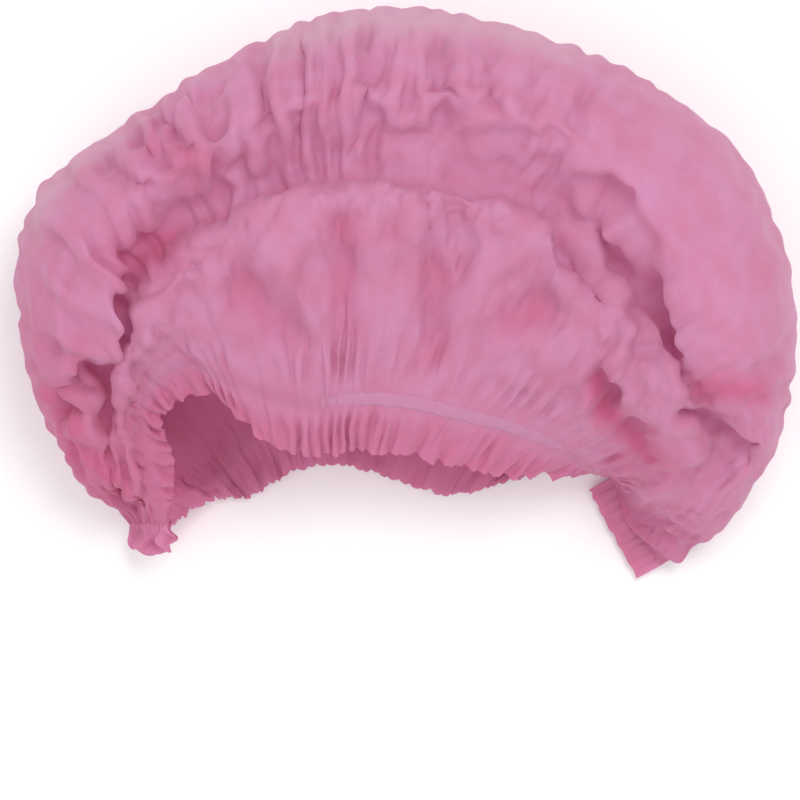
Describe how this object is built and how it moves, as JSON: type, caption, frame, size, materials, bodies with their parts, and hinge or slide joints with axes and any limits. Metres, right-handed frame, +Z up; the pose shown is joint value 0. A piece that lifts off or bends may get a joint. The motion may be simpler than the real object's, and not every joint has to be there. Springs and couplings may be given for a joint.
{
  "type": "bouffant cap",
  "caption": "Clip-style bouffant cap of gathered nonwoven cloth, puffed open and lying on its back, with hem bands, flat elastics and pressed end seals.",
  "frame": {"origin": "centre of the footprint on the surface that the cap lies on", "axes": "+X along the cap's width towards its right end seal, +Y away from the mouth, +Z up from the surface"},
  "size_m": [0.2706, 0.1994, 0.1079],
  "materials": {
    "crown_cloth": "thin matt spunbonded nonwoven, slightly translucent, finely pleated",
    "band_cloth": "doubled nonwoven hem, tightly gathered",
    "elastic_cloth": "flat pale elastic under gathered cloth",
    "sealed_cloth": "many cloth layers pressed and welded stiff"
  },
  "bodies": {
    "root": {"crown": "crown_cloth", "front_band": "band_cloth", "rear_band": "band_cloth", "front_elastic": "elastic_cloth", "rear_elastic": "elastic_cloth", "left_end_seal": "sealed_cloth", "right_end_seal": "sealed_cloth"}
  },
  "joints": []
}
